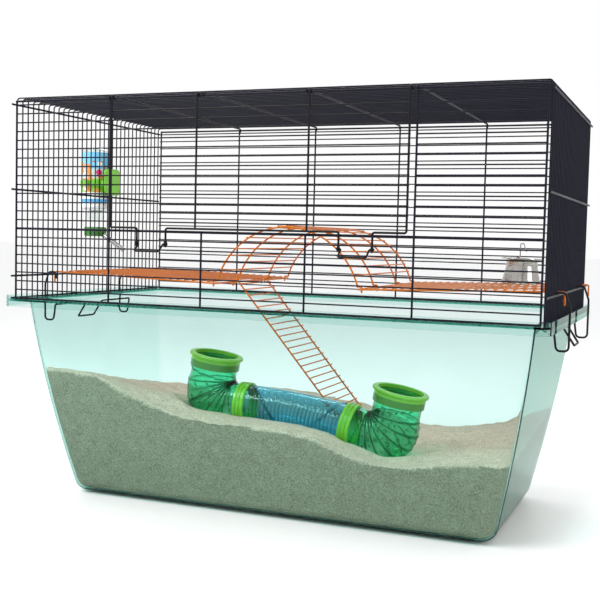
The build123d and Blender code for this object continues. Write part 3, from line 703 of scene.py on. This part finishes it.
def make_middle_tube():
    centre, radius = arc_of_tube()
    a, b = (JOINTS[s] - centre for s in ("left", "right"))
    sections = []
    for k in range(TUBE_STEPS + 1):
        spoke = swing(a, b, END_SHARE + (1 - 2 * END_SHARE) * k / TUBE_STEPS)
        sections.append(section(centre + spoke * radius, -spoke, TUBE_R, TUBE_R))
    bm = tube_through(sections, TUBE_ROUND)
    length = a.angle(b) * radius
    rings = [(RINGS_IN + (length - 2 * RINGS_IN) * ((k * GOLDEN) % 1.0), (k * GOLDEN_TURN) % (2 * math.pi))
             for k in range(RINGS)]

    def height(co):
        spoke = Vector((co.x - centre.x, 0, co.z - centre.z))
        along = a.angle(spoke) * radius
        if min(along, length - along) < PLAIN_END:
            return 0.0
        turn = math.atan2(co.y - centre.y, spoke.length - radius)
        hoop = abs((along + HOOP_EVERY / 2) % HOOP_EVERY - HOOP_EVERY / 2)
        low = ramped(abs(turn), HOOPS_FROM, HOOPS_FULL)
        place = (along % ARCH_EVERY) / ARCH_EVERY
        arch = ARCH_FOOT + ARCH_RISE * math.sin(math.pi * place)
        rise = low * dome(hoop, HOOP_HALF, HOOP_H)
        rise = max(rise, dome((abs(turn) - arch) * TUBE_R, ARCH_HALF, MARK_H))
        for where, angle in rings:
            if abs(along - where) < RING_R + RING_HALF:
                across = abs((turn - angle + math.pi) % (2 * math.pi) - math.pi) * TUBE_R
                ring = math.hypot(along - where, across) - RING_R
                rise = max(rise, dome(ring, RING_HALF, MARK_H))
        return rise

    raise_surface(bm, height)
    piece = finish_piece(bm, "middle_tube_moulded", blue_tube, "cage", "blue_tube", "middle_tube")
    return give_wall(piece, WALL)


middle_tube = make_middle_tube()


# %% [markdown]
# ## The bedding
# The heap's slopes are set in CAD, where the tunnel's bed is cut out of it. Here a copy is rebuilt from
# small even cells, softened, and given the lumps and hollows that paws leave. Close to the tunnel the
# lumps fade out, so nothing pokes through. The grain itself is in the material. Its colour also carries
# painted shade: faces that point sideways or down, against the walls, are darkened as if less light
# reached them.

# %% Mix the bedding's finish
# painted shade: this tone is multiplied into the sand's colour on faces that point sideways or down
SHADED_SIDE_TONE = (0.50, 0.58, 0.54)
GRAINS_PER_M, BITS_PER_M, GRAIN_BUMP, GRAIN_DEEP = 620, 260, 0.55, 1.6 * MM


def mix_bedding():
    material = mottled("sand", (0.34, 0.265, 0.205), (0.84, 0.68, 0.56), (0.8, 0.95), broad=70,
                       fine=480, share=0.8, Specular_IOR_Level=0.2)
    tree = material.node_tree
    make, link = tree.nodes.new, tree.links.new
    # painted shade, read from the mesh, darkens the faces that point sideways or down
    painted_shade = make("ShaderNodeAttribute")
    painted_shade.attribute_name = "painted_shade"
    tint_where(material, painted_shade.outputs["Fac"], SHADED_SIDE_TONE, "MULTIPLY")
    where, grains, bits = (make("ShaderNode" + kind) for kind in ("TexCoord", "TexVoronoi", "TexNoise"))
    grains.inputs["Scale"].default_value = GRAINS_PER_M
    bits.inputs["Scale"].default_value = BITS_PER_M
    bits.inputs["Detail"].default_value = 4
    for tex in (grains, bits):
        link(where.outputs["Object"], tex.inputs["Vector"])
    blend, relief = make("ShaderNodeMix"), make("ShaderNodeBump")
    blend.inputs[0].default_value = 0.5
    link(grains.outputs["Distance"], blend.inputs[2])
    link(bits.outputs["Fac"], blend.inputs[3])
    relief.inputs["Strength"].default_value = GRAIN_BUMP
    relief.inputs["Distance"].default_value = GRAIN_DEEP
    link(blend.outputs[0], relief.inputs["Height"])
    link(relief.outputs["Normal"], tree.nodes["Principled BSDF"].inputs["Normal"])
    return material


sand = mix_bedding()

# %% Rebuild the heap
CELL, WELD = 3.6 * MM, 0.01 * MM
RISE, RISE_AT, RISE_WIDE = 11 * MM, KNEES["left"] + Vector((-35, -20, 0)) * MM, 55 * MM
WAVES = ((9, (0, 0, 0), 5.0 * MM), (32, (5, 0, 0), 2.2 * MM), (75, (0, 7, 0), 2.0 * MM))
LUMPS_FROM, LUMPS_FULL = 36 * MM, 54 * MM           # distance from the tunnel's line
TOP_FROM, TOP_FULL, WALL_BELOW = 0.35, 0.60, 0.2    # how far up a face points
# painted shade: full where a face's normal points up no more than the first value, none above the second
SHADE_FULL_AT, SHADE_NONE_AT, WALL_IN = 0.25, 0.55, 0.7 * MM
LINE = [MOUTHS["left"], KNEES["left"], JOINTS["left"], JOINTS["right"], KNEES["right"], MOUTHS["right"]]


def from_tunnel(co):
    """Distance from the tunnel's centre line."""
    best = 1.0
    for a, b in zip(LINE, LINE[1:]):
        t = max(0.0, min(1.0, (co - a).dot(b - a) / (b - a).length_squared))
        best = min(best, (co - a - (b - a) * t).length)
    return best


def lumps(co):
    """Height of the loose surface: a local rise, then waves from broad hollows to crumbs."""
    rise = RISE * math.exp(-((co - RISE_AT).xy.length / RISE_WIDE) ** 2)
    return rise + sum(noise.noise(co * scale + Vector(shift)) * height for scale, shift, height in WAVES)


def remeshed_copy(node, cell):
    bm = bmesh.new()
    bm.from_mesh(nodes[node].data)
    bmesh.ops.remove_doubles(bm, verts=bm.verts, dist=WELD)
    mesh = bpy.data.meshes.new("scratch")
    bm.to_mesh(mesh)
    bm.free()
    scratch = bpy.data.objects.new("scratch", mesh)
    scene.collection.objects.link(scratch)
    even = scratch.modifiers.new("even", "REMESH")
    even.mode = "VOXEL"
    even.voxel_size = cell
    result = bpy.data.meshes.new_from_object(scratch.evaluated_get(bpy.context.evaluated_depsgraph_get()))
    bpy.data.objects.remove(scratch)
    return result


def make_bedding():
    bm = bmesh.new()
    bm.from_mesh(remeshed_copy("bedding", CELL))
    bmesh.ops.smooth_vert(bm, verts=bm.verts, factor=0.5, use_axis_x=True, use_axis_y=True,
                          use_axis_z=True)
    bm.normal_update()
    painted_shade = bm.verts.layers.float.new("painted_shade")
    moves = []
    for v in bm.verts:
        n = v.normal
        # painted shade: the less a face points up, the darker its sand is painted
        v[painted_shade] = ramped(n.z, SHADE_NONE_AT, SHADE_FULL_AT)
        if n.z > TOP_FROM:
            share = ramped(from_tunnel(v.co), LUMPS_FROM, LUMPS_FULL) * ramped(n.z, TOP_FROM, TOP_FULL)
            moves.append((v, Vector((0, 0, 1)) * lumps(v.co) * share))
        elif n.z < WALL_BELOW:
            moves.append((v, n * -WALL_IN))
    for v, move in moves:
        v.co += move
    return finish_piece(bm, "bedding_heap", sand, "cage", "sand", "bedding")


bedding = make_bedding()

# %% [markdown]
# ## The bottle's cap
# The cap is a short ribbed drum that holds the end of the clear neck, so the neck shows above it. The
# profile is spun about the bottle's axis, then its outside is pushed out in even finger ribs.

# %% Model the cap
CAP_H, CAP_RIBS, CAP_RIB, STEPS_PER_RIB = 16 * MM, 28, 0.7 * MM, 8
cap_low, cap_high = (Vector(c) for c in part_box("bottle_cap"))
CAP_R = (cap_high.y - cap_low.y) / 2 - CAP_RIB
CAP_AT = Vector(((cap_low.x + cap_high.x) / 2, (cap_low.y + cap_high.y) / 2, cap_low.z))
NECK_GAP, CAP_WALL, CAP_ROUND = 1.6 * MM, 2.4 * MM, 1.2 * MM


def make_cap():
    mouth = CAP_R - NECK_GAP
    profile = ((0, 0), (CAP_R - CAP_ROUND, 0), (CAP_R, CAP_ROUND), (CAP_R, CAP_H / 2),
               (CAP_R, CAP_H - CAP_ROUND), (CAP_R - CAP_ROUND / 2, CAP_H), (mouth, CAP_H),
               (mouth, CAP_WALL), (0, CAP_WALL))
    bm = spun(profile, CAP_RIBS * STEPS_PER_RIB)
    for v in bm.verts:
        if v.co.xy.length > CAP_R - SAME_POINT:
            turn = math.atan2(v.co.y, v.co.x)
            push = CAP_RIB * max(0.0, math.cos(CAP_RIBS * turn))
            v.co += Vector((v.co.x, v.co.y, 0)).normalized() * push
    bmesh.ops.translate(bm, vec=CAP_AT, verts=bm.verts)
    return finish_piece(bm, "bottle_cap_ribbed", cap_plastic, "bottle_cap", "dark_green_plastic",
                        "bottle_cap")


cap = make_cap()

# %% [markdown]
# ## The food bowl
# A spun steel bowl: straight flared base, a waist, a rolled rim and a bright dish. The profile is spun
# round the bowl's own axis, which leans with the shelf. The polish is a little uneven, so the
# roughness varies.

# %% Model the bowl
BOWL_LEAN, BOWL_TALL = math.radians(-1.70), 1.22
bowl_low, bowl_high = (Vector(c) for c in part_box("food_bowl"))
BOWL_R = (bowl_high.y - bowl_low.y) / 2
BOWL_H = BOWL_R * BOWL_TALL
BOWL_WALL, BOWL_ROUND = 0.7 * MM, 96
BOWL_PROFILE = (    # radius and height, as shares of the rim's radius and the bowl's height
    (0.930, 0.000), (0.945, 0.012), (0.900, 0.16), (0.845, 0.34), (0.795, 0.52), (0.755, 0.66),
    (0.742, 0.76), (0.752, 0.84), (0.790, 0.895), (0.870, 0.935), (0.955, 0.955), (0.990, 0.968),
    (1.000, 0.985), (0.985, 1.000), (0.960, 0.995), (0.900, 0.965), (0.810, 0.93), (0.735, 0.87),
    (0.700, 0.78), (0.670, 0.60), (0.630, 0.42), (0.560, 0.31), (0.420, 0.265), (0.220, 0.255),
    (0.0, 0.252))


def make_bowl():
    bm = spun([(BOWL_R * r, BOWL_H * z) for r, z in BOWL_PROFILE], BOWL_ROUND)
    centre = (bowl_low + bowl_high) / 2
    place = Matrix.Translation((centre.x, centre.y, bowl_low.z)) @ Matrix.Rotation(-BOWL_LEAN, 4, "Y")
    lift = BOWL_R * BOWL_PROFILE[0][0] * abs(math.sin(BOWL_LEAN))
    bmesh.ops.transform(bm, matrix=Matrix.Translation((0, 0, lift)) @ place, verts=bm.verts)
    piece = finish_piece(bm, "food_bowl_spun", polished, "bowl", "polished_steel", "food_bowl")
    return give_wall(piece, BOWL_WALL)


polished = mottled("polished_steel", (0.40, 0.385, 0.36), (0.52, 0.50, 0.47), (0.05, 0.12), 0.03, broad=50,
                   fine=1500, Metallic=1.0)
bowl = make_bowl()

# %% [markdown]
# ## The floor
# A wide pale sheet under the cage. It isn't part of the object, so it is marked as stage.

# %% Lay the floor
FLOOR_HALF = 30
floor_bm = bmesh.new()
bmesh.ops.create_grid(floor_bm, x_segments=8, y_segments=8, size=FLOOR_HALF)
floor_mesh = bpy.data.meshes.new("floor")
floor_bm.to_mesh(floor_mesh)
floor_bm.free()
floor = bpy.data.objects.new("floor", floor_mesh)
floor_mesh.materials.append(mottled("floor_sheet", (0.90, 0.91, 0.91), (0.94, 0.945, 0.945), (0.35, 0.5),
                                    broad=3, fine=60))
scene.collection.objects.link(floor)
floor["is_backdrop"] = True

# %% [markdown]
# ## Check the size
# The box of what shows is compared with the CAD box, to see whether the looks change the object's size.

# %% Compare sizes and finish
shown_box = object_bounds()
growth = [round((v - c) / MM, 1) for a, b in zip(cad_box, shown_box) for c, v in zip(a, b)]
print("visual minus CAD, mm:", growth)
